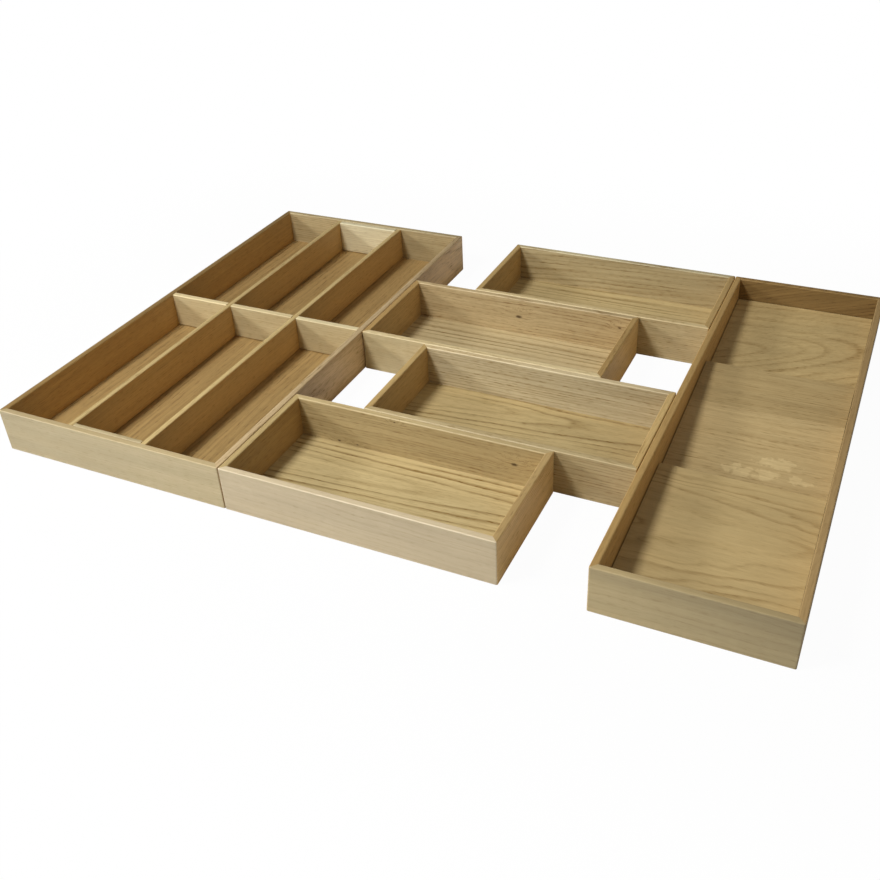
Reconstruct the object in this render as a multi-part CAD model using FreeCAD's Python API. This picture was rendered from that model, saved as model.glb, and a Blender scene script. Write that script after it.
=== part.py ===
import FreeCAD, Part
import os

# Oak drawer organiser of six loose trays standing side by side: a divided cutlery tray on the left,
# a bay of four small boxes pushed left and right in turn, and a spice tray with sloping tiers on the right.
# Millimetres. +X runs to the right, +Y to the back of the drawer and +Z up.
# The origin is on the drawer floor, at the middle of the whole set.

# Boards that all six trays share
tray_depth = 472.0          # front to back, to suit the inside of the drawer
wall_height = 40.5
wall_thickness = 5.8
floor_thickness = 5.0       # in the cutlery tray and the spice tray
edge_radius = 1.0           # rounding along the top edges
corner_radius = 1.2         # rounding of the upright corners
module_gap = 0.5            # between trays standing side by side
row_gap = 0.3               # between one box and the next behind it

# Divided cutlery tray
cutlery_width = 230.0
divider_thickness = 5.0     # long dividers
cross_thickness = 6.0       # loose cross dividers
front_strip = 4.0           # the thinner cross divider that stands at the front wall
divider_drop = 0.5          # divider tops below the wall tops
left_column = 67.2          # clear width beside the left wall
right_column = 69.0         # clear width beside the right wall
cross_row = 237.2           # front of the tray to the front face of the middle cross dividers
slip_clearance = 0.3        # around each loose cross divider

# Small boxes
box_rows = 4
box_width = 236.5
box_travel = 66.0           # how far each box slides across its row
box_floor_thickness = 3.5   # the small boxes have thinner floors

# Spice tray
spice_width = 141.0
tier_thickness = 5.0        # measured upright
tier_side_gap = 0.75        # between a tier and each side wall
tier_end_gap = 0.5          # in front of and behind each tier
front_tier_depth = 157.2
middle_tier_depth = 157.5
front_tier_rise = 8.5       # back edge above the front edge
middle_tier_rise = 16.0
back_tier_rise = 9.5
riser_thickness = 6.0

# Places that follow from the sizes above
bay_width = box_width + box_travel + 2 * module_gap
total_width = cutlery_width + bay_width + spice_width
cutlery_left = -total_width / 2
bay_left = cutlery_left + cutlery_width
spice_left = bay_left + bay_width
front_line = -tray_depth / 2
back_line = tray_depth / 2
box_depth = (tray_depth - (box_rows - 1) * row_gap) / box_rows
divider_top = wall_height - divider_drop
inner_front = front_line + wall_thickness
inner_back = back_line - wall_thickness


def block(x0, x1, y0, y1, z0, z1):
    """A square-edged board between two corners."""
    return Part.makeBox(x1 - x0, y1 - y0, z1 - z0, FreeCAD.Vector(x0, y0, z0))


def prism(corners, direction):
    """A closed outline of corners carried along a direction."""
    outline = Part.makePolygon(corners + corners[:1])
    return Part.Face(outline).extrude(direction)


def ease_top(board, along):
    """Round the highest edges of a board that run along a direction."""
    top = board.BoundBox.ZMax
    chosen = []
    for edge in board.Edges:
        start = edge.Vertexes[0].Point
        run = edge.Vertexes[-1].Point.sub(start)
        level = abs(start.z - top) < 1e-6 and abs(run.z) < 1e-6
        if level and run.cross(along).Length < 1e-6 * run.Length:
            chosen.append(edge)
    return board.makeFillet(edge_radius, chosen)


def upright_edges(board):
    """The edges of a board that stand upright."""
    chosen = []
    for edge in board.Edges:
        run = edge.Vertexes[-1].Point.sub(edge.Vertexes[0].Point)
        if abs(abs(run.z) - run.Length) < 1e-6:
            chosen.append(edge)
    return chosen


def tray_boards(x0, x1, y0, y1, floor_height):
    """Four mitred walls with eased tops and corners, and the floor panel set between them."""
    corners = [(x0, y0), (x1, y0), (x1, y1), (x0, y1)]
    sides = ["front", "right", "back", "left"]
    body = block(x0, x1, y0, y1, 0, wall_height)
    body = body.makeFillet(corner_radius, upright_edges(body))
    boards = {}
    for i, side in enumerate(sides):
        start = FreeCAD.Vector(*corners[i], 0)
        end = FreeCAD.Vector(*corners[(i + 1) % 4], 0)
        along = end.sub(start).normalize()
        inward = FreeCAD.Vector(-along.y, along.x, 0)
        inner_end = end + (inward - along) * wall_thickness
        inner_start = start + (inward + along) * wall_thickness
        wall = prism([start, end, inner_end, inner_start], FreeCAD.Vector(0, 0, wall_height))
        wall = ease_top(wall, along)
        boards[side + "_wall"] = wall.common(body)
    t = wall_thickness
    boards["floor"] = block(x0 + t, x1 - t, y0 + t, y1 - t, 0, floor_height)
    return boards


def cutlery_tray():
    """The wide tray with two long dividers glued in and five loose cross dividers."""
    x0 = cutlery_left
    x1 = cutlery_left + cutlery_width
    nodes = {}
    for name, board in tray_boards(x0, x1, front_line, back_line, floor_thickness).items():
        nodes["cutlery_" + name] = board

    inner_left = x0 + wall_thickness
    inner_right = x1 - wall_thickness
    left_divider = inner_left + left_column
    right_divider = inner_right - right_column - divider_thickness
    depthwise = FreeCAD.Vector(0, 1, 0)
    for side, x in (("left", left_divider), ("right", right_divider)):
        board = block(x, x + divider_thickness, inner_front, inner_back, floor_thickness, divider_top)
        nodes["long_divider_" + side] = ease_top(board, depthwise)

    columns = {
        "left": (inner_left, left_divider),
        "middle": (left_divider + divider_thickness, right_divider),
        "right": (right_divider + divider_thickness, inner_right),
    }
    rows = {
        "front": (inner_front + slip_clearance, front_strip),
        "centre": (front_line + cross_row, cross_thickness),
        "back": (inner_back - slip_clearance - cross_thickness, cross_thickness),
    }
    places = [("left", "centre"), ("middle", "centre"), ("right", "centre"), ("middle", "front"), ("middle", "back")]
    crosswise = FreeCAD.Vector(1, 0, 0)
    for column, row in places:
        left, right = columns[column]
        y, thickness = rows[row]
        board = block(left + slip_clearance, right - slip_clearance, y, y + thickness,
                      floor_thickness + slip_clearance, divider_top)
        nodes["cross_divider_" + column + "_" + row] = ease_top(board, crosswise)
    return nodes


def small_boxes():
    """Four boxes from front to back, the odd rows pushed left and the even rows pushed right."""
    nodes = {}
    for row in range(box_rows):
        pushed_right = row % 2 == 1
        x0 = bay_left + module_gap + (box_travel if pushed_right else 0.0)
        y0 = front_line + row * (box_depth + row_gap)
        boards = tray_boards(x0, x0 + box_width, y0, y0 + box_depth, box_floor_thickness)
        for name, board in boards.items():
            nodes["box_" + str(row + 1) + "_" + name] = board
    return nodes


def tier(x0, x1, y0, y1, rise):
    """A sloping board whose front edge stands on the floor, and the riser strip under its back edge."""
    low = floor_thickness
    slope = rise / (y1 - y0)
    across = FreeCAD.Vector(x1 - x0, 0, 0)
    board = prism([
        FreeCAD.Vector(x0, y0, low),
        FreeCAD.Vector(x0, y1, low + rise),
        FreeCAD.Vector(x0, y1, low + rise + tier_thickness),
        FreeCAD.Vector(x0, y0, low + tier_thickness),
    ], across)
    riser_front = y1 - riser_thickness
    riser = prism([
        FreeCAD.Vector(x0, riser_front, low),
        FreeCAD.Vector(x0, y1, low),
        FreeCAD.Vector(x0, y1, low + rise),
        FreeCAD.Vector(x0, riser_front, low + slope * (riser_front - y0)),
    ], across)
    return ease_top(board, across), riser


def spice_tray():
    """The narrow tray with three sloping tiers standing one behind the other."""
    x0 = spice_left
    x1 = spice_left + spice_width
    nodes = {}
    for name, board in tray_boards(x0, x1, front_line, back_line, floor_thickness).items():
        nodes["spice_" + name] = board

    left = x0 + wall_thickness + tier_side_gap
    right = x1 - wall_thickness - tier_side_gap
    front_start = inner_front + tier_end_gap
    middle_start = front_start + front_tier_depth + tier_end_gap
    back_start = middle_start + middle_tier_depth + tier_end_gap
    runs = {
        "front": (front_start, front_start + front_tier_depth, front_tier_rise),
        "middle": (middle_start, middle_start + middle_tier_depth, middle_tier_rise),
        "back": (back_start, inner_back - tier_end_gap, back_tier_rise),
    }
    for name, (start, end, rise) in runs.items():
        board, riser = tier(left, right, start, end, rise)
        nodes["tier_" + name + "_board"] = board
        nodes["tier_" + name + "_riser"] = riser
    return nodes


os.makedirs("parts", exist_ok=True)
for tray in (cutlery_tray(), small_boxes(), spice_tray()):
    for name, shape in tray.items():
        shape.Solids[0].exportStep(os.path.join("parts", name + ".step"))
        print(name, round(shape.Volume / 1000, 1), "cm3")
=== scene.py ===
import math
import bpy
import numpy as np
from mathutils import Matrix, Vector


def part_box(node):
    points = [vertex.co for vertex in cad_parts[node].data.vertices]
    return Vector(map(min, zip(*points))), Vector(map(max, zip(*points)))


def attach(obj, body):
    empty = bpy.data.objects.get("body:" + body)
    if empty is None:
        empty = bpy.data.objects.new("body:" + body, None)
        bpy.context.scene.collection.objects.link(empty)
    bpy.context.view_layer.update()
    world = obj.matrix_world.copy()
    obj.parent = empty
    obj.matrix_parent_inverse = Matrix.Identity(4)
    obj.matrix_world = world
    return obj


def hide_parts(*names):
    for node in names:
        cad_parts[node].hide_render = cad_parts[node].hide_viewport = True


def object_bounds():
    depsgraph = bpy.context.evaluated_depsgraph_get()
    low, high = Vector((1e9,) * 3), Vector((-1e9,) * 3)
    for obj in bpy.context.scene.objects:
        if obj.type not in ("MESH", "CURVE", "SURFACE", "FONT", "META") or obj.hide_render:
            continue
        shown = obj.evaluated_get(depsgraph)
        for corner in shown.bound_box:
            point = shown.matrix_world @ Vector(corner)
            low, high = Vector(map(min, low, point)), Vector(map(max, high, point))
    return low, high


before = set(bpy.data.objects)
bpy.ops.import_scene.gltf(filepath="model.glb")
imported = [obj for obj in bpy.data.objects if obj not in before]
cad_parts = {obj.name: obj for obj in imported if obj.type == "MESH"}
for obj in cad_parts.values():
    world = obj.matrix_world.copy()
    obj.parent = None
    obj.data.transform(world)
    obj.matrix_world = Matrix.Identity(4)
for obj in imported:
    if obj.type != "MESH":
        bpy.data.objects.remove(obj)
cad_low, cad_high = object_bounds()

# Oak drawer organiser of six loose trays: a divided cutlery tray, four small boxes and a spice tray.
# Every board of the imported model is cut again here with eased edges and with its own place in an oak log,
# so that the growth rings run through its faces, edges and ends as they do in solid wood.
# Metres throughout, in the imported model's frame.

# Easing of the boards
TOP_RADIUS = 0.0010         # along the top edges
CORNER_RADIUS = 0.0012      # at the upright corners of a tray
ARRIS_RADIUS = 0.0003       # at edges that are only sanded
FOOT_RADIUS = 0.0015        # at the feet of the dividers
GLUE_RADIUS = 0.00001       # at edges glued to a neighbour
EASING_STEPS = 7            # points on each rounded edge
FLAT_MARGIN = 0.00005       # flat strip beside a rounding, which keeps the faces flat to the eye
SHARP_ANGLE = math.radians(35)                      # edges that turn by more than this stay sharp
MITRE_TIP = CORNER_RADIUS * (1 - math.sqrt(0.5))    # how far the rounding takes back a mitre's point


# Boards

def eased_outline(corners, radii):
    """The end outline of a board, counterclockwise, with every corner rounded.

    Each corner gives way to an arc that touches both of its edges: the arc's centre lies on the corner's
    bisector at radius / sin(half angle), and the arc's points turn evenly from one edge to the other.
    One more point lies on each edge just outside the arc.
    """
    corners = np.asarray(corners, float)
    radii = np.asarray(radii, float)[:, None]
    to_last = np.roll(corners, 1, axis=0) - corners
    to_next = np.roll(corners, -1, axis=0) - corners
    to_last /= np.linalg.norm(to_last, axis=1, keepdims=True)
    to_next /= np.linalg.norm(to_next, axis=1, keepdims=True)
    half = 0.5 * np.arccos((to_last * to_next).sum(1, keepdims=True))
    bisector = to_last + to_next
    bisector /= np.linalg.norm(bisector, axis=1, keepdims=True)
    centre = corners + bisector * radii / np.sin(half)
    start = corners + to_last * radii / np.tan(half)
    end = corners + to_next * radii / np.tan(half)
    turn = np.pi - 2 * half
    share = np.linspace(0, 1, EASING_STEPS)[None, :, None]
    arcs = (np.sin((1 - share) * turn[:, None]) * (start - centre)[:, None]
            + np.sin(share * turn[:, None]) * (end - centre)[:, None]) / np.sin(turn[:, None])
    arcs += centre[:, None]
    before = (start + to_last * FLAT_MARGIN)[:, None]
    after = (end + to_next * FLAT_MARGIN)[:, None]
    return np.concatenate([before, arcs, after], axis=1).reshape(-1, 2)


def square_outline(thick, high, foot_radius, top_radius):
    """A rectangular end outline with its two lower and its two upper corners eased."""
    return eased_outline([(0, 0), (thick, 0), (thick, high), (0, high)],
                         [foot_radius, foot_radius, top_radius, top_radius])


def carried_outline(outline, length, mitred):
    """An outline carried along a straight run: places (along, across, up), quads and the two end faces.

    A square-ended board has the outline at both ends. A mitred one starts at a distance along that equals
    the place across, which is the 45 degree plane. Near the mitre its outer face also bends inward along
    half of the corner's quarter circle of CORNER_RADIUS, and the next wall has the other half. The bend
    fades to nothing at CORNER_RADIUS from the outer face.
    """
    across, up = outline.T
    if mitred:
        angles = np.linspace(math.pi / 4, 0, EASING_STEPS)
        inset = np.append(CORNER_RADIUS * (1 - np.cos(angles)), 0)
        inset = np.concatenate([inset, inset[::-1]])[:, None]
        station = np.append(CORNER_RADIUS * (1 - np.sin(angles)), CORNER_RADIUS + FLAT_MARGIN) - MITRE_TIP
        fade = np.clip(1 - across / CORNER_RADIUS, 0, 1)
        start = across + MITRE_TIP * fade + station[:, None]
        along = np.concatenate([start, length - start[::-1]])
        depth = across + inset * fade
    else:
        along = np.array([[0.0], [length]])
        depth = across
    places = np.stack(np.broadcast_arrays(along, depth, up), axis=2)
    stations, count = places.shape[:2]
    grid = np.arange(stations * count).reshape(stations, count)
    following = np.roll(grid, -1, axis=1)
    quads = np.stack([grid[:-1], following[:-1], following[1:], grid[1:]], axis=2).reshape(-1, 4)
    ends = np.stack([grid[0, ::-1], grid[-1]])
    return places.reshape(-1, 3), quads, ends


QUARTER_PITH = 0.11         # how far from the pith a board sawn towards it starts


def quarter(fall=0.0):
    """A board sawn towards the pith: straight lines along its face that fall this much per metre."""
    return {"turn": 0.0, "side": 0.0, "out": QUARTER_PITH, "side_lean": 0.0, "out_lean": fall}


def crown(axis, depth, lean, drift=0.0):
    """A board sawn flat over the pith: arches round a line at axis across the face, which drifts along it.

    The pith lies depth past the board's under or outer face at the start of the run and lean more per metre,
    so the arches point along the run.
    """
    return {"turn": math.pi / 2, "side": axis, "out": depth, "side_lean": drift, "out_lean": lean}


def log_places(along, wide, thick, cut, start):
    """Where a board's places lay in the log: (along the trunk, sideways, outward) from the pith.

    The section is turned, moved out from the pith and leans along its length as its cut says.
    """
    turn = cut["turn"]
    sideways = cut["side"] - math.sin(turn) * wide + math.cos(turn) * thick + cut["side_lean"] * along
    outward = cut["out"] + math.cos(turn) * wide + math.sin(turn) * thick + cut["out_lean"] * along
    return np.stack([along + start, sideways, outward], axis=1)


PLAIN_LOOK = {
    "tone": 1.0,            # how light the board is beside its neighbours
    "tone_along": 0.0,      # how much lighter it gets from start to end
    "tone_up": 0.0,         # how much lighter it gets from the bottom to the top
    "pink": 0.0,            # how far its colour goes from straw to a pinkish grey
    "warm": 0.0,            # how far its colour goes to a reddish brown
    "top": 0.35,            # how much lighter its top face is painted, as light falling on it; below 0, painted shade
    "top_along": 0.0,       # how much that painted light on its top face grows from start to end
    "top_cool": 0.0,        # how far the top face goes back from reddish brown
    "ring": 0.0016,         # width of a year's growth
    "wave": 0.0006,         # how far the ring lines wander
    "inside": 0.0,          # how far the rings are moved in towards the pith
    "taper": 0.0,           # how much further they move in per metre of the run
    "lines": 0.2,           # strength of the ring lines
    "grain": 1.0,           # strength of the pores and fibres
    "fleck": 0.1,           # strength of the ray flecks
    "highlight": 0.8,            # how much paler the rounded top edges are painted, as a highlight
}
EVEN_VALUES = {             # attributes that are the same all over a stave, and the look each one holds
    "pinkness": "pink",
    "ring_width": "ring",
    "ring_wave": "wave",
    "ring_lines": "lines",
    "open_grain": "grain",
    "ray_fleck": "fleck",
}


def stave_parts(outline, run, mitred, upright, slope, cut, look, start):
    """One stave of a board: points, quads, end faces, places in the log and the values its finish reads.

    The crest is 0 up to the rounding of an upright board's top edges and rises to 1 on its top face, which
    it paints lighter or darker as light and shade. The painted highlight is 4 * crest * (1 - crest), which is
    strongest halfway up the rounding.
    """
    origin, along, across, length = run
    places, quads, ends = carried_outline(outline, length, mitred)
    points = origin + places @ np.array([along, across, np.cross(along, across)])
    low = places.min(0)
    high = places.max(0)
    from_middle = (places - low) / (high - low) - 0.5
    level = places[:, 2] - slope * places[:, 1]
    if upright:
        wide, thick = level, places[:, 1]
        crest = np.clip((places[:, 2] - high[2]) / TOP_RADIUS + 1, 0, 1)
    else:
        wide, thick = places[:, 1], level
        crest = np.zeros(len(places))
    tone = look["tone"] + look["tone_along"] * from_middle[:, 0] + look["tone_up"] * from_middle[:, 2]
    # painted light and shade on the top face, carried in the tone
    top = look["top"] + look["top_along"] * from_middle[:, 0]
    values = {
        "tone_and_painted_light": tone * (1 + top * crest),
        # painted highlight along the rounded top edges
        "edge_highlight": look["highlight"] * 4 * crest * (1 - crest),
        "warmth": look["warm"] - look["top_cool"] * crest,
        "ring_shift": look["inside"] + look["taper"] * places[:, 0],
    }
    for label, key in EVEN_VALUES.items():
        values[label] = np.full(len(points), look[key])
    return points, quads, ends, log_places(places[:, 0], wide, thick, cut, start), values


def board(node, body, finish, run, outlines, saws, mitred=False, upright=True, slope=0.0):
    """One board as a mesh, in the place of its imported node: one or more staves glued edge to edge.

    The attribute log_place holds each point's place in the log, and the others hold what is special to
    the board.
    """
    points, faces, logs, values = [], [], [], []
    count = 0
    for outline, (cut, look, start) in zip(outlines, saws):
        stave = stave_parts(outline, run, mitred, upright, slope, cut, {**PLAIN_LOOK, **look}, start)
        stave_points, quads, ends, stave_logs, stave_values = stave
        faces += (quads + count).tolist() + (ends + count).tolist()
        count += len(stave_points)
        points.append(stave_points)
        logs.append(stave_logs)
        values.append(stave_values)
    name = "oak_" + node
    mesh = bpy.data.meshes.new(name)
    mesh.from_pydata(np.concatenate(points), [], faces)
    mesh.attributes.new("log_place", "FLOAT_VECTOR", "POINT")
    mesh.attributes["log_place"].data.foreach_set("vector", np.concatenate(logs).astype(np.float32).ravel())
    for label in values[0]:
        mesh.attributes.new(label, "FLOAT", "POINT")
        joined = np.concatenate([part[label] for part in values]).astype(np.float32)
        mesh.attributes[label].data.foreach_set("value", joined)
    mesh.shade_smooth()
    mesh.set_sharp_from_angle(angle=SHARP_ANGLE)
    mesh.materials.append(finish)
    piece = bpy.data.objects.new(name, mesh)
    bpy.context.scene.collection.objects.link(piece)
    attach(piece, body)
    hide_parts(node)


# Steps of a finish

def empty_tree(owner):
    """The node tree of a material or a world, with nothing in it yet."""
    owner.use_nodes = True
    owner.node_tree.nodes.clear()
    return owner.node_tree


def tree_node(tree, kind, inputs=None, **settings):
    """A node with its settings made and its inputs set to values or linked to other nodes' sockets."""
    node = tree.nodes.new(kind)
    for key, value in settings.items():
        setattr(node, key, value)
    for key, value in (inputs or {}).items():
        if isinstance(value, bpy.types.NodeSocket):
            tree.links.new(value, node.inputs[key])
        else:
            node.inputs[key].default_value = value
    return node


def math_node(tree, operation, *values):
    """One step of arithmetic with numbers."""
    return tree_node(tree, "ShaderNodeMath", dict(enumerate(values)), operation=operation).outputs[0]


def vector_node(tree, operation, *values):
    """One step of arithmetic with places or colours."""
    inputs = dict(enumerate(values))
    return tree_node(tree, "ShaderNodeVectorMath", inputs, operation=operation).outputs["Vector"]


def length_of(tree, place):
    """How far a place lies from the origin."""
    return tree_node(tree, "ShaderNodeVectorMath", {0: place}, operation="LENGTH").outputs["Value"]


def colour_mix(tree, share, first, second, clamped=True):
    """A share of the way from the first colour to the second. Unclamped, it may go past either of them.

    The colour sockets of this node go by their numbers, because their names repeat.
    """
    return tree_node(tree, "ShaderNodeMix", {0: share, 6: first, 7: second},
                     data_type="RGBA", clamp_factor=clamped).outputs[2]


def stretched_noise(tree, place, lumps, detail):
    """Noise from 0 to 1 with so many lumps per metre along, sideways and outward."""
    scaled = vector_node(tree, "MULTIPLY", place, lumps)
    return tree_node(tree, "ShaderNodeTexNoise", {
        "Vector": scaled, "Scale": 1.0, "Detail": detail}).outputs["Fac"]


def swing(tree, noise):
    """Noise from 0 to 1 as a swing to either side of 0."""
    return math_node(tree, "SUBTRACT", noise, 0.5)


def smooth_step(tree, value, low, high):
    """0 below low, 1 above high and an S-shaped rise between them."""
    return tree_node(tree, "ShaderNodeMapRange", {"Value": value, "From Min": low, "From Max": high},
                     interpolation_type="SMOOTHSTEP", clamp=True).outputs["Result"]


def new_group(name, inputs, outputs):
    """An empty shader node group with its sockets, listed by their kind, and its input and output nodes."""
    group = bpy.data.node_groups.new(name, "ShaderNodeTree")
    for in_out, kinds in (("INPUT", inputs), ("OUTPUT", outputs)):
        for kind, labels in kinds.items():
            for label in labels:
                group.interface.new_socket(label, in_out=in_out, socket_type="NodeSocket" + kind)
    return group, group.nodes.new("NodeGroupInput").outputs, group.nodes.new("NodeGroupOutput").inputs


# Knots and flakes

SPOT_SQUEEZE = (0.5, 1.0, 1.0)      # makes a spot twice as long along X as across
SPOT_EDGE = (0.25, 1.0)             # where it fades from full to nothing, in radii
SPOT_DETAIL = 2.0                   # how much finer the noise of its edge gets


def spot_group():
    """A soft uneven spot: 1 round its centre, 0 past its radius, and twice as long along X as across.

    The distance from the centre is counted in radii, and noise with so many lumps per metre, times the
    raggedness, is added to it.
    """
    tree, given, put = new_group(
        "uneven_spot", {"Vector": ("Place", "Centre"), "Float": ("Radius", "Lumps", "Raggedness")},
        {"Float": ("Spot",)})
    away = vector_node(tree, "SUBTRACT", given["Place"], given["Centre"])
    distance = length_of(tree, vector_node(tree, "MULTIPLY", away, SPOT_SQUEEZE))
    noise = tree_node(tree, "ShaderNodeTexNoise", {
        "Vector": given["Place"], "Scale": given["Lumps"], "Detail": SPOT_DETAIL}).outputs["Fac"]
    reach = math_node(tree, "DIVIDE", distance, given["Radius"])
    reach = math_node(tree, "MULTIPLY_ADD", swing(tree, noise), given["Raggedness"], reach)
    spot = math_node(tree, "SUBTRACT", 1.0, smooth_step(tree, reach, *SPOT_EDGE))
    tree.links.new(spot, put["Spot"])
    return tree


UNEVEN_SPOT = spot_group()


def spots(tree, centres, spread, lumps, raggedness):
    """The strongest of the spots with these centres and radii, each spread by this much."""
    place = tree_node(tree, "ShaderNodeTexCoord").outputs["Object"]
    strongest = None
    for centre, radius in centres:
        spot = tree_node(tree, "ShaderNodeGroup", node_tree=UNEVEN_SPOT, inputs={
            "Place": place, "Centre": centre, "Radius": radius * spread, "Lumps": lumps,
            "Raggedness": raggedness}).outputs["Spot"]
        strongest = spot if strongest is None else math_node(tree, "MAXIMUM", strongest, spot)
    return strongest


# Figure of the oak

FIGURE = ("Ring", "Pore", "Fibre", "Fleck", "Cloud")

# Noises: lumps per metre along the trunk, sideways and outward, and how much finer they get
SLOW_BEND = ((5.0, 24.0, 24.0), 1.5)
QUICK_BEND = ((14.0, 60.0, 60.0), 2.0)
LINE_PATCHES = ((9.0, 34.0, 34.0), 1.0)
PORES = ((130.0, 900.0, 900.0), 1.0)
FINE_FIBRES = ((18.0, 760.0, 760.0), 3.0)
COARSE_FIBRES = ((9.0, 230.0, 230.0), 2.0)
CLOUDS = ((3.0, 60.0, 60.0), 3.0)
RAYS = ((80.0, 60.0, 420.0), 2.0)   # along the trunk, out from the pith and round it

SLOW_HEIGHT = 4.0           # how far the slow bend goes, in the board's own wave
QUICK_HEIGHT = 2.0          # how far the quick bend goes
YEAR_LUMPS = 0.31           # lumps per ring of the noise that makes the years uneven
YEAR_DETAIL = 1.0           # how much finer it gets
YEAR_SPREAD = 1.3           # how many ring widths it moves a line at most
LINE_RISE = (0.0, 0.16)     # where in a ring its dark line comes up
LINE_FADE = (0.14, 0.52)    # where in a ring it fades
YEAR_LEAST = 0.45           # strength of the faintest year's line
PATCH_EDGE = (0.3, 0.62)    # from a faint patch to a strong one
PATCH_LEAST = 0.35          # strength of the lines in a faint patch
PATCH_GAIN = 0.9            # what a strong patch adds
PORE_EDGE = (0.52, 0.7)     # from solid wood to a pore
PORE_LEAST = 0.4            # strength of the pores between the lines
RAY_EDGE = (0.52, 0.68)     # from plain wood to a ray fleck
RAY_TURN = 0.1              # metres of ray noise per radian round the pith


def oak_figure_group():
    """Growth rings, pores, fibres, ray flecks and clouds of oak from a place in the log.

    The distance from the pith, bent by slow and quick noise and shifted by knots and the trunk's taper, is
    counted in ring widths. Each ring starts with a dark line that fades towards the next one. Each year's
    line has a strength of its own and is stronger in some patches than in others.
    """
    tree, given, put = new_group(
        "oak_figure", {"Vector": ("Place",), "Float": ("Ring Width", "Wave", "Shift")}, {"Float": FIGURE})
    place = given["Place"]
    trunk, sideways, outward = tree_node(tree, "ShaderNodeSeparateXYZ", {0: place}).outputs
    sideways_squared = math_node(tree, "MULTIPLY", sideways, sideways)
    outward_squared = math_node(tree, "MULTIPLY", outward, outward)
    pith_distance = math_node(tree, "SQRT", math_node(tree, "ADD", sideways_squared, outward_squared))

    bent = pith_distance
    for bend, height in ((SLOW_BEND, SLOW_HEIGHT), (QUICK_BEND, QUICK_HEIGHT)):
        sway = swing(tree, stretched_noise(tree, place, *bend))
        reach = math_node(tree, "MULTIPLY", given["Wave"], height)
        bent = math_node(tree, "MULTIPLY_ADD", sway, reach, bent)
    bent = math_node(tree, "ADD", bent, given["Shift"])
    count = math_node(tree, "DIVIDE", bent, given["Ring Width"])
    uneven = tree_node(tree, "ShaderNodeTexNoise", {"W": count, "Scale": YEAR_LUMPS, "Detail": YEAR_DETAIL},
                       noise_dimensions="1D").outputs["Fac"]
    count = math_node(tree, "MULTIPLY_ADD", uneven, YEAR_SPREAD, count)
    within = math_node(tree, "FRACT", count)
    year = tree_node(tree, "ShaderNodeTexWhiteNoise", {"W": math_node(tree, "FLOOR", count)},
                     noise_dimensions="1D").outputs["Value"]
    fading = math_node(tree, "SUBTRACT", 1.0, smooth_step(tree, within, *LINE_FADE))
    line = math_node(tree, "MULTIPLY", fading, smooth_step(tree, within, *LINE_RISE))
    year_strength = math_node(tree, "MULTIPLY_ADD", year, 1 - YEAR_LEAST, YEAR_LEAST)
    patch = smooth_step(tree, stretched_noise(tree, place, *LINE_PATCHES), *PATCH_EDGE)
    patch_strength = math_node(tree, "MULTIPLY_ADD", patch, PATCH_GAIN, PATCH_LEAST)
    ring = math_node(tree, "MULTIPLY", math_node(tree, "MULTIPLY", line, year_strength), patch_strength)

    pore = smooth_step(tree, stretched_noise(tree, place, *PORES), *PORE_EDGE)
    pore_strength = math_node(tree, "MULTIPLY_ADD", ring, 1 - PORE_LEAST, PORE_LEAST)
    pore = math_node(tree, "MULTIPLY", pore, pore_strength)
    fine = stretched_noise(tree, place, *FINE_FIBRES)
    coarse = stretched_noise(tree, place, *COARSE_FIBRES)
    fibre = math_node(tree, "MULTIPLY_ADD", coarse, 0.5, math_node(tree, "MULTIPLY", fine, 0.5))
    round_pith = math_node(tree, "MULTIPLY", math_node(tree, "ARCTAN2", sideways, outward), RAY_TURN)
    ray_place = tree_node(tree, "ShaderNodeCombineXYZ", {
        0: trunk, 1: pith_distance, 2: round_pith}).outputs["Vector"]
    fleck = smooth_step(tree, stretched_noise(tree, ray_place, *RAYS), *RAY_EDGE)
    cloud = stretched_noise(tree, place, *CLOUDS)

    for label, value in zip(FIGURE, (ring, pore, fibre, fleck, cloud)):
        tree.links.new(value, put[label])
    return tree


# Colour of the oak

KNOT_BROWN = (0.105, 0.062, 0.026, 1.0)
PINK_TINT = (1.0, 0.985, 1.13)
WARM_TINT = (1.04, 0.985, 0.9)
FIBRE_DARK = 1.2            # how far the fibres go from the pale colour to the line colour
PORE_DARK = 0.5             # how far the pores go there
FLECK_PALE = 0.5            # how far the ray flecks go the other way
FLAKE_PALE = 0.55           # how far the open flakes go the other way
FLAKE_EDGE = (0.2, 0.8)     # from plain wood to a flake
FLAKE_LEAST = 0.7           # strength of a flake between its own ray flecks
HIGHLIGHT_PALE = 0.35            # how far the painted highlight on the rounded top edges goes the other way
CLOUD_SHADE = 0.3           # how much lighter or darker the clouds are
SATIN = 0.36                # roughness of the lacquer
PORE_ROUGH = 0.2            # what the pores add to it
CLOUD_ROUGH = 0.12          # what the clouds add to it
HIGHLIGHT_POLISH = 0.1           # what the painted highlight's mask takes off it, so that the lacquer's own highlight there is sharper
RING_DIP = 0.3              # depth of the ring lines beside that of the pores
FIBRE_RISE = 0.4            # height of the fibres beside it


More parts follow.
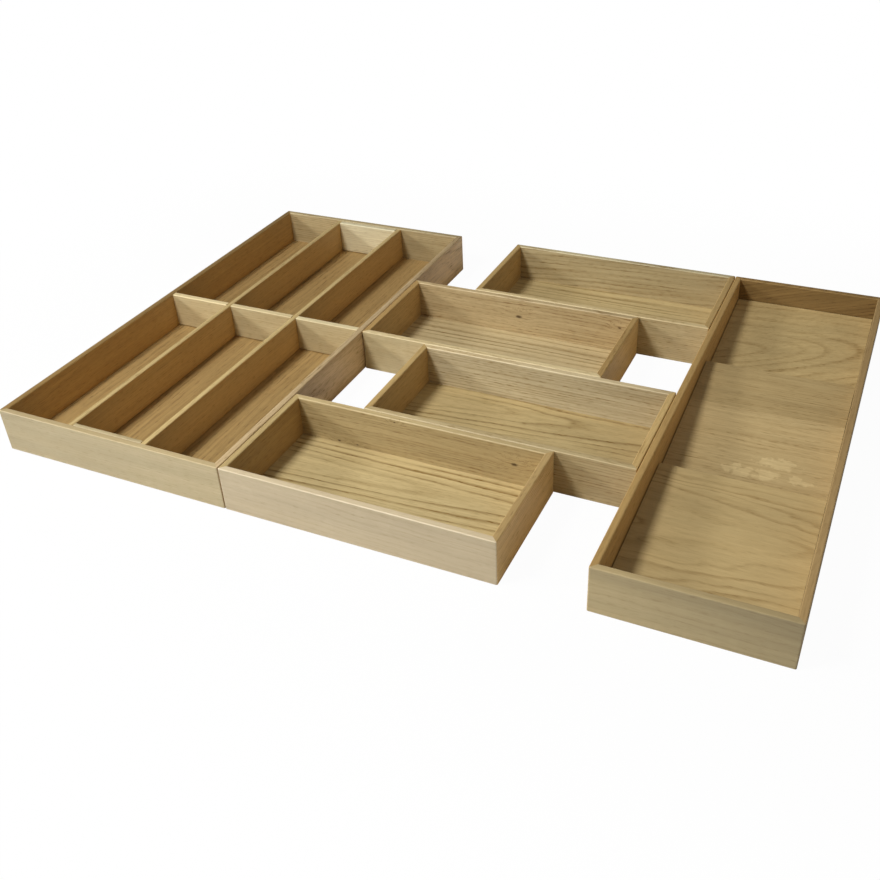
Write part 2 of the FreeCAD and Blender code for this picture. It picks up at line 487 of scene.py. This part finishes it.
def oak_colour_group():
    """Colour, roughness and relief of lacquered oak from its figure.

    The pale wood darkens along the ring lines and fibres, the pores are darker still, the ray flecks, flakes
    and the painted highlight along the rounded top edges paler, slow clouds and the board's tone, which holds
    the painted light and shade of its top face, lighten or darken the whole, and knots are dark brown.
    """
    own_values = ("Tone And Painted Light", "Pinkness", "Lines", "Flecks", "Painted Highlight", "Warmth", "Grain", "Knot", "Flake")
    tree, given, put = new_group(
        "oak_colour", {"Float": FIGURE + own_values, "Color": ("Pale", "Line")},
        {"Color": ("Colour",), "Float": ("Roughness", "Relief")})
    fibre = math_node(tree, "MULTIPLY", swing(tree, given["Fibre"]), given["Grain"])
    pore = math_node(tree, "MULTIPLY", given["Pore"], given["Grain"])
    fleck = math_node(tree, "MULTIPLY", given["Fleck"], given["Flecks"])
    flake = smooth_step(tree, given["Flake"], *FLAKE_EDGE)
    streaks = math_node(tree, "MULTIPLY_ADD", given["Fleck"], 1 - FLAKE_LEAST, FLAKE_LEAST)
    flake = math_node(tree, "MULTIPLY", flake, streaks)
    darker = math_node(tree, "MULTIPLY", given["Ring"], given["Lines"])
    # the painted highlight on the rounded top edges goes towards the pale colour
    for part, weight in ((fibre, FIBRE_DARK), (pore, PORE_DARK), (fleck, -FLECK_PALE), (flake, -FLAKE_PALE),
                         (given["Painted Highlight"], -HIGHLIGHT_PALE)):
        darker = math_node(tree, "MULTIPLY_ADD", part, weight, darker)
    wood = colour_mix(tree, darker, given["Pale"], given["Line"], clamped=False)
    for amount, tint in (("Pinkness", PINK_TINT), ("Warmth", WARM_TINT)):
        tinted = vector_node(tree, "MULTIPLY", wood, tint)
        wood = colour_mix(tree, given[amount], wood, tinted, clamped=False)
    # the tone also holds the painted light and shade of the top face
    light = math_node(tree, "MULTIPLY_ADD", swing(tree, given["Cloud"]), CLOUD_SHADE, given["Tone And Painted Light"])
    shaded = tree_node(tree, "ShaderNodeVectorMath", {0: wood, "Scale": light}, operation="SCALE").outputs[0]
    shaded = colour_mix(tree, given["Knot"], shaded, KNOT_BROWN)
    rough = math_node(tree, "MULTIPLY_ADD", given["Pore"], PORE_ROUGH, SATIN)
    rough = math_node(tree, "MULTIPLY_ADD", given["Cloud"], CLOUD_ROUGH, rough)
    rough = math_node(tree, "MULTIPLY_ADD", given["Painted Highlight"], -HIGHLIGHT_POLISH, rough)
    relief = math_node(tree, "MULTIPLY", given["Pore"], -1.0)
    relief = math_node(tree, "MULTIPLY_ADD", given["Ring"], -RING_DIP, relief)
    relief = math_node(tree, "MULTIPLY_ADD", fibre, FIBRE_RISE, relief)
    for label, value in (("Colour", shaded), ("Roughness", rough), ("Relief", relief)):
        tree.links.new(value, put[label])
    return tree


# Finishes

OAK_FIGURE = oak_figure_group()
OAK_COLOUR = oak_colour_group()
FLAKE_LUMPS = 150.0         # lumps per metre at the edge of a flake
FLAKE_RAGGED = 2.0          # how many radii they span
KNOT_LUMPS = 600.0          # lumps per metre at the edge of a pin knot
KNOT_RAGGED = 0.5           # how many radii they span
KNOT_SWIRL = 6.0            # how many radii out a knot pushes the grain aside
KNOT_PUSH = 0.004           # how far it pushes the grain
GRAIN_STRENGTH = 0.3        # how much of the open grain's relief shows
GRAIN_DEPTH = 0.0002
LACQUER_SHEEN = 0.45


def linear(red, green, blue):
    """A screen colour, 0 to 255, as linear light by the standard screen curve."""
    share = np.array([red, green, blue]) / 255
    return tuple(np.where(share <= 0.04045, share / 12.92, ((share + 0.055) / 1.055) ** 2.4)) + (1.0,)


def oak_finish(name, pale, line, knots=(), flakes=()):
    """Lacquered oak: the figure from the place in the log, its colours, a satin sheen and an open grain.

    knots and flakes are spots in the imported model's frame: dark pin knots that push the grain aside, and
    patches where the rays lie open as pale flakes.
    """
    material = bpy.data.materials.new(name)
    tree = empty_tree(material)

    def own(label):
        """One of the board's own values."""
        return tree_node(tree, "ShaderNodeAttribute", attribute_name=label).outputs["Fac"]

    place = tree_node(tree, "ShaderNodeAttribute", attribute_name="log_place").outputs["Vector"]
    shift = own("ring_shift")
    if knots:
        swirl = spots(tree, knots, KNOT_SWIRL, KNOT_LUMPS, KNOT_RAGGED)
        shift = math_node(tree, "MULTIPLY_ADD", swirl, KNOT_PUSH, shift)
    figure = tree_node(tree, "ShaderNodeGroup", node_tree=OAK_FIGURE, inputs={
        "Place": place, "Ring Width": own("ring_width"), "Wave": own("ring_wave"), "Shift": shift}).outputs

    shades = {label: figure[label] for label in FIGURE}
    shades.update({
        "Tone And Painted Light": own("tone_and_painted_light"), "Pinkness": own("pinkness"), "Warmth": own("warmth"),
        "Lines": own("ring_lines"), "Grain": own("open_grain"), "Flecks": own("ray_fleck"),
        "Painted Highlight": own("edge_highlight"), "Pale": pale, "Line": line})
    if knots:
        shades["Knot"] = spots(tree, knots, 1.0, KNOT_LUMPS, KNOT_RAGGED)
    if flakes:
        shades["Flake"] = spots(tree, flakes, 1.0, FLAKE_LUMPS, FLAKE_RAGGED)
    colour = tree_node(tree, "ShaderNodeGroup", node_tree=OAK_COLOUR, inputs=shades).outputs

    bump = tree_node(tree, "ShaderNodeBump", {
        "Strength": GRAIN_STRENGTH, "Distance": GRAIN_DEPTH, "Height": colour["Relief"]})
    lacquer = tree_node(tree, "ShaderNodeBsdfPrincipled", {
        "Base Color": colour["Colour"], "Roughness": colour["Roughness"],
        "Normal": bump.outputs["Normal"], "Specular IOR Level": LACQUER_SHEEN})
    tree_node(tree, "ShaderNodeOutputMaterial", {"Surface": lacquer.outputs["BSDF"]})
    return material


PIN_KNOTS = (               # centres on the back walls of the first and third box, and radii
    ((0.0983, -0.1240, 0.0230), 0.0021),
    ((-0.0646, -0.1240, 0.0052), 0.0012),
    ((-0.0467, -0.1240, 0.0050), 0.0008),
    ((-0.0082, -0.1240, 0.0375), 0.0008),
    ((0.0092, 0.1121, 0.0216), 0.0023),
    ((0.1130, 0.1121, 0.0283), 0.0013),
)
RAY_FLAKES = (              # centres on the middle tier, and radii
    ((0.2634, -0.0512, 0.0121), 0.0100),
    ((0.2830, -0.0490, 0.0123), 0.0090),
    ((0.2890, -0.0350, 0.0138), 0.0100),
    ((0.3054, -0.0506, 0.0122), 0.0070),
)
STRAW_OAK = oak_finish("straw_oak", linear(198, 181, 139), linear(150, 125, 79))
KNOTTY_OAK = oak_finish("knotty_oak", linear(196, 174, 126), linear(146, 117, 70), knots=PIN_KNOTS)
HONEY_OAK = oak_finish("honey_oak", linear(208, 187, 136), linear(146, 118, 67))
TIER_OAK = oak_finish("tier_oak", linear(206, 181, 127), linear(150, 119, 68), flakes=RAY_FLAKES)
TAN_OAK = oak_finish("tan_oak", linear(200, 164, 103), linear(140, 104, 54))
BROWN_OAK = oak_finish("brown_oak", linear(192, 160, 104), linear(122, 90, 48))


# Cutting list: how each board in view was sawn and what is special to it

# Each board's look also sets the painted light and shade on its top face and the painted highlight along its
# rounded top edges.
CUTS = {
    "cutlery_front_wall": (quarter(), dict(
        ring=0.0024, lines=0.15, grain=0.75, tone=0.77, tone_along=0.12, pink=0.2, top=0.16, top_cool=-0.8)),
    # Tone above 1 here is partly the board's own colour and partly painted fill light on its shaded outer
    # right face.
    "cutlery_right_wall": (crown(0.012, 0.05, 0.05), dict(
        ring=0.0035, lines=0.35, wave=0.002, grain=1.5, tone=1.26, tone_along=0.65, pink=1.4, warm=-2.6,
        top=-0.02, top_along=-0.7, top_cool=0.3)),
    "cutlery_back_wall": (quarter(), dict(
        ring=0.0030, lines=0.5, wave=0.002, tone=0.84, tone_along=0.12, warm=0.4, top=0.1)),
    "cutlery_left_wall": (quarter(), dict(
        ring=0.0015, lines=0.15, tone=0.92, warm=0.6, top=-0.45, highlight=0.2)),
    "cutlery_floor": (quarter(), dict(ring=0.0060, lines=0.33, wave=0.0040, tone=0.95, warm=-0.1)),
    "box_1_front_wall": (quarter(0.03), dict(
        ring=0.0060, lines=0.18, wave=0.004, grain=0.55, tone=0.94, tone_along=0.05, pink=0.9, warm=-0.3,
        top=0.38, highlight=1.2)),
    # Tone above 1 here is partly the board's own colour and partly painted fill light on its shaded outer
    # right face.
    "box_1_right_wall": (quarter(), dict(
        ring=0.0030, lines=0.3, wave=0.002, tone=1.26, pink=0.3, warm=-1.8, top=-0.21, top_cool=-0.5)),
    "box_1_back_wall": (quarter(), dict(
        ring=0.0030, lines=0.5, wave=0.003, grain=1.3, tone=0.92, tone_along=0.04, top=0.17)),
    "box_1_left_wall": (quarter(), dict(tone=0.77, warm=0.9, top=0.34, top_cool=3.4)),
    "box_1_floor": (crown(0.067, 0.010, 0.035, 0.03), dict(
        ring=0.0052, lines=0.8, wave=0.0013, tone_along=-0.08)),
    "box_2_front_wall": (quarter(), dict(ring=0.0030, lines=0.5, grain=1.3, tone=0.82, warm=0.6, top=0.28)),
    "box_2_back_wall": (quarter(), dict(
        ring=0.0030, lines=0.6, grain=1.4, tone=1.08, tone_along=0.22, pink=0.4, warm=-0.5, top=0.32,
        top_cool=-0.5)),
    "box_2_right_wall": (quarter(), dict(top=0.25, top_cool=1.5)),
    "box_2_floor": (crown(0.080, 0.012, 0.05, 0.05), dict(
        ring=0.0052, lines=0.6, wave=0.0026, tone=0.93, tone_along=-0.2, warm=0.4)),
    "box_3_front_wall": (quarter(), dict(ring=0.0018, top=0.45)),
    "box_3_left_wall": (quarter(), dict(top=-0.1)),
    # Tone above 1 here is partly the board's own colour and partly painted fill light on its shaded outer
    # right face.
    "box_3_right_wall": (quarter(), dict(
        ring=0.0030, lines=0.3, wave=0.002, tone=1.34, warm=-1.6, top=-0.32, top_cool=-1.2)),
    "box_3_back_wall": (quarter(), dict(
        ring=0.0034, lines=0.55, wave=0.0030, grain=1.4, tone=0.99, tone_along=0.08, pink=0.5, top=0.15)),
    "box_3_floor": (quarter(), dict(ring=0.0078, lines=0.8, wave=0.0010, tone=1.06, pink=0.5, warm=-0.5)),
    "box_4_front_wall": (quarter(), dict(ring=0.0020, lines=0.35, grain=1.5, tone=0.95, warm=0.4, top=0.5)),
    "box_4_back_wall": (quarter(0.06), dict(
        ring=0.0055, lines=0.7, wave=0.003, grain=1.3, tone=0.88, tone_along=0.18, warm=0.5, top=0.52,
        top_cool=1.6)),
    "box_4_floor": (quarter(), dict(ring=0.0080, lines=0.8, wave=0.0020, tone=1.06)),
    "spice_front_wall": (quarter(), dict(
        ring=0.0060, wave=0.004, grain=0.6, tone=0.75, tone_up=-0.18, tone_along=-0.16, warm=0.5, top=0.29,
        top_cool=-0.6, highlight=0.1)),
    "spice_right_wall": (quarter(), dict(tone=0.72, pink=0.6, warm=-0.9, top=0.2)),
    "spice_back_wall": (quarter(0.3), dict(
        ring=0.0040, lines=0.32, wave=0.003, tone=0.5, tone_along=0.1, warm=1.4)),
    "spice_left_wall": (quarter(), dict(tone=1.16, tone_along=-0.16, warm=0.5, top=-0.24, top_cool=0.5)),
    "long_divider_left": (quarter(), dict(top=0.22, top_cool=2.8)),
    "long_divider_right": (quarter(), dict(top=0.33, top_cool=2.8)),
    "cross_divider_left_centre": (quarter(), dict(tone=1.1)),
    "cross_divider_right_centre": (quarter(), dict(top=0.45, top_cool=0.8)),
    "cross_divider_middle_front": (quarter(), dict(tone=0.85, top=0.0)),
    "cross_divider_middle_back": (quarter(), dict(
        ring=0.0030, lines=0.5, wave=0.004, tone=1.42, pink=0.2, warm=-1.6, top=0.1)),
    "tier_front_board": (crown(0.086, 0.050, 0.07), dict(
        ring=0.0056, lines=0.4, wave=0.0065, grain=0.6, tone=1.02, pink=0.1)),
    "tier_back_board": (crown(0.047, -0.005, 0.2, 0.28), dict(
        ring=0.0110, lines=0.32, wave=0.0012, tone=1.08, inside=0.010, taper=0.2)),
}
MIDDLE_TIER_CUTS = (        # front stave and back stave
    (quarter(), dict(ring=0.0070, lines=0.25, wave=0.0070, tone=1.03, tone_up=0.18, pink=0.3)),
    (quarter(), dict(ring=0.0026, lines=0.3, wave=0.0015, tone=0.92, pink=0.2, warm=0.3)),
)
OTHER_WALL = (quarter(), dict(top=0.05, top_cool=1.2))
OTHER_BOARD = (quarter(), {})
TRUNK_LENGTH = 50.0         # length of log that the boards come from, so that each has a figure of its own
SAWING_SEED = 11
sawing = np.random.default_rng(SAWING_SEED)


def trunk_place():
    """How far up the trunk the next board comes from."""
    return sawing.uniform(0, TRUNK_LENGTH)


def sawn(node):
    """The cut of a board, what is special to it, and how far up the trunk it comes from."""
    cut, look = CUTS.get(node, OTHER_WALL if "wall" in node else OTHER_BOARD)
    return cut, look, trunk_place()


# Assembly

ALONG_X = (np.array([1.0, 0, 0]), np.array([0, 1.0, 0]))
ALONG_Y = (np.array([0, 1.0, 0]), np.array([-1.0, 0, 0]))
WALL_RUNS = {
    "front": ALONG_X,
    "right": ALONG_Y,
    "back": (-ALONG_X[0], -ALONG_X[1]),
    "left": (-ALONG_Y[0], -ALONG_Y[1]),
}
WALL_FINISHES = {"box_1_back_wall": KNOTTY_OAK, "box_3_back_wall": KNOTTY_OAK, "spice_back_wall": BROWN_OAK}
MIDDLE_TIER_STAVE = 0.099   # depth of the front stave of the middle tier
OPEN_EDGE = (ARRIS_RADIUS, TOP_RADIUS)      # lower and upper easing of a tier's edge
GLUED_EDGE = (GLUE_RADIUS, GLUE_RADIUS)     # and of an edge glued to the next stave


def run_of(node, directions):
    """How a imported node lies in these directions: (origin, along, across, length), thickness and height."""
    low, high = (np.array(corner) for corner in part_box(node))
    along, across = directions
    origin = np.where(along + across < 0, high, low)
    size = high - low
    return (origin, along, across, abs(size @ along)), abs(size @ across), size[2]


def square_board(node, body, finish, directions, foot_radius, top_radius):
    """A square-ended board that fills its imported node's box, with its lower and upper edges eased."""
    run, thick, high = run_of(node, directions)
    outline = square_outline(thick, high, foot_radius, top_radius)
    board(node, body, finish, run, [outline], [sawn(node)], upright=high > thick)


def wall(node, body, side, finish):
    """A tray wall with mitred ends and eased top edges.

    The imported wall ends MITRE_TIP short of the tray's square corners, because its own corners are rounded.
    The mitres meet at the square corners.
    """
    (origin, along, across, length), thick, high = run_of(node, WALL_RUNS[side])
    run = (origin - MITRE_TIP * along, along, across, length + 2 * MITRE_TIP)
    outline = square_outline(thick, high, ARRIS_RADIUS, TOP_RADIUS)
    board(node, body, finish, run, [outline], [sawn(node)], mitred=True)


def tray(prefix, body, floor_directions, floor_finish):
    """Four walls and a floor panel."""
    for side in WALL_RUNS:
        node = prefix + "_" + side + "_wall"
        plain = STRAW_OAK if side in ("front", "back") else TAN_OAK
        wall(node, body, side, WALL_FINISHES.get(node, plain))
    square_board(prefix + "_floor", body, floor_finish, floor_directions,
                 ARRIS_RADIUS, ARRIS_RADIUS)


def tier(name):
    """A sloping tier board, whose outline leans back, and the riser strip under its back edge.

    The middle tier is glued up from two staves.
    """
    body = "tier_" + name
    node = body + "_board"
    riser = body + "_riser"
    run, deep, high = run_of(node, ALONG_X)
    riser_run, riser_thick, rise = run_of(riser, ALONG_X)
    thick = high - rise
    slope = rise / deep
    if name == "middle":
        edges = (0.0, MIDDLE_TIER_STAVE, deep)
        saws = [(cut, look, trunk_place()) for cut, look in MIDDLE_TIER_CUTS]
    else:
        edges = (0.0, deep)
        saws = [sawn(node)]
    outlines = []
    for front, back in zip(edges[:-1], edges[1:]):
        front_foot, front_top = OPEN_EDGE if front == 0 else GLUED_EDGE
        back_foot, back_top = OPEN_EDGE if back == deep else GLUED_EDGE
        corners = [(front, slope * front), (back, slope * back),
                   (back, slope * back + thick), (front, slope * front + thick)]
        outlines.append(eased_outline(corners, [front_foot, back_foot, back_top, front_top]))
    board(node, body, TIER_OAK, run, outlines, saws, upright=False, slope=slope)
    corners = [(0, 0), (riser_thick, 0), (riser_thick, rise), (0, rise - slope * riser_thick)]
    outline = eased_outline(corners, [ARRIS_RADIUS] * len(corners))
    board(riser, body, TIER_OAK, riser_run, [outline], [sawn(riser)])


tray("cutlery", "cutlery_tray", ALONG_Y, BROWN_OAK)
for side in ("left", "right"):
    node = "long_divider_" + side
    square_board(node, "cutlery_tray", TAN_OAK, ALONG_Y, FOOT_RADIUS, TOP_RADIUS)
for spot in ("left_centre", "middle_centre", "right_centre", "middle_front", "middle_back"):
    node = "cross_divider_" + spot
    square_board(node, node, STRAW_OAK, ALONG_X, FOOT_RADIUS, TOP_RADIUS)
for row in (1, 2, 3, 4):
    tray("box_" + str(row), "box_" + str(row), ALONG_X, HONEY_OAK)
tray("spice", "spice_tray", ALONG_Y, BROWN_OAK)
for name in ("front", "middle", "back"):
    tier(name)


# Floor, light and camera

WHITE = (1.0, 1.0, 1.0, 1.0)
FLOOR_SIZE = 12.0
FLOOR_DROP = 0.0002         # how far the floor lies under the trays
FLOOR_WHITE = (0.9, 0.9, 0.89, 1.0)
WHITE_SHARE = 0.97          # how much of the floor's own white covers its shading near the trays
WHITE_REACH = 0.35          # how far from the trays it covers all of it


def pale_floor():
    """A plain white floor that keeps a light shadow of the trays."""
    half = FLOOR_SIZE / 2
    mesh = bpy.data.meshes.new("pale_floor")
    mesh.from_pydata([(-half, -half, -FLOOR_DROP), (half, -half, -FLOOR_DROP), (half, half, -FLOOR_DROP),
                      (-half, half, -FLOOR_DROP)], [], [(0, 1, 2, 3)])
    material = bpy.data.materials.new("pale_floor")
    tree = empty_tree(material)
    shaded = tree_node(tree, "ShaderNodeBsdfDiffuse", {"Color": FLOOR_WHITE}).outputs[0]
    white = tree_node(tree, "ShaderNodeEmission", {"Color": WHITE, "Strength": 1.0}).outputs[0]
    place = tree_node(tree, "ShaderNodeTexCoord").outputs["Object"]
    parts = tree_node(tree, "ShaderNodeSeparateXYZ", {0: place}).outputs
    outside = []
    for part, edge in ((parts[0], cad_high[0]), (parts[1], cad_high[1])):
        past_edge = math_node(tree, "SUBTRACT", math_node(tree, "ABSOLUTE", part), edge)
        outside.append(math_node(tree, "MAXIMUM", past_edge, 0.0))
    away = tree_node(tree, "ShaderNodeCombineXYZ", dict(enumerate(outside))).outputs["Vector"]
    far = smooth_step(tree, length_of(tree, away), 0.0, WHITE_REACH)
    whiter = math_node(tree, "MULTIPLY_ADD", far, 1 - WHITE_SHARE, WHITE_SHARE)
    seen = tree_node(tree, "ShaderNodeLightPath").outputs["Is Camera Ray"]
    share = math_node(tree, "MULTIPLY", seen, whiter)
    mixed = tree_node(tree, "ShaderNodeMixShader", {0: share, 1: shaded, 2: white}).outputs[0]
    tree_node(tree, "ShaderNodeOutputMaterial", {"Surface": mixed})
    mesh.materials.append(material)
    floor = bpy.data.objects.new("pale_floor", mesh)
    bpy.context.scene.collection.objects.link(floor)


AMBIENT = 0.14
ROOM_LIGHT = (1.0, 0.91, 0.78, 1.0)     # soft light that has come off wood and walls


def studio_world():
    """Even soft light all round, and white where the camera sees past the floor."""
    world = bpy.data.worlds.new("studio")
    tree = empty_tree(world)
    seen = tree_node(tree, "ShaderNodeLightPath").outputs["Is Camera Ray"]
    room = tree_node(tree, "ShaderNodeBackground", {"Color": ROOM_LIGHT, "Strength": AMBIENT}).outputs[0]
    white = tree_node(tree, "ShaderNodeBackground", {"Color": WHITE, "Strength": 1.0}).outputs[0]
    mixed = tree_node(tree, "ShaderNodeMixShader", {0: seen, 1: room, 2: white}).outputs[0]
    tree_node(tree, "ShaderNodeOutputWorld", {"Surface": mixed})
    bpy.context.scene.world = world


LAMP_AIM = Vector((0.0, 0.0, 0.02))
LAMPS = (                   # name, place, width and watts
    ("key_lamp", (-0.46, -0.75, 1.04), 0.30, 11.5),
    ("window_lamp", (-1.9, -1.1, 0.95), 0.4, 21.0),
    ("fill_lamp", (1.9, -0.2, 1.0), 1.2, 2.5),
)


def soft_box(name, place, width, power):
    """A round soft light that hangs at a place and faces the trays."""
    lamp = bpy.data.lights.new(name, "AREA")
    lamp.shape = "DISK"
    lamp.size = width
    lamp.energy = power
    stand = bpy.data.objects.new(name, lamp)
    stand.location = place
    stand.rotation_euler = (LAMP_AIM - Vector(place)).to_track_quat("-Z", "Y").to_euler()
    bpy.context.scene.collection.objects.link(stand)


CAMERA_PLACE = Vector((0.34208, -0.73222, 0.50310))
CAMERA_HEADING = math.radians(26.927)
CAMERA_DIP = math.radians(34.725)
CAMERA_ROLL = math.radians(-3.1715)
CAMERA_LENS = 41.532        # millimetres
CAMERA_SENSOR = 36.0        # millimetres


def photo_camera():
    """The photograph's view: turned to the left by its heading, dipped to the trays and rolled a little."""
    camera = bpy.data.cameras.new("photo_camera")
    camera.lens = CAMERA_LENS
    camera.sensor_width = CAMERA_SENSOR
    stand = bpy.data.objects.new("photo_camera", camera)
    stand.matrix_world = (
        Matrix.Translation(CAMERA_PLACE)
        @ Matrix.Rotation(CAMERA_HEADING, 4, "Z")
        @ Matrix.Rotation(math.pi / 2 - CAMERA_DIP, 4, "X")
        @ Matrix.Rotation(CAMERA_ROLL, 4, "Z"))
    bpy.context.scene.collection.objects.link(stand)
    bpy.context.scene.camera = stand


pale_floor()
studio_world()
for lamp in LAMPS:
    soft_box(*lamp)
photo_camera()
bpy.context.scene.view_settings.view_transform = "Standard"
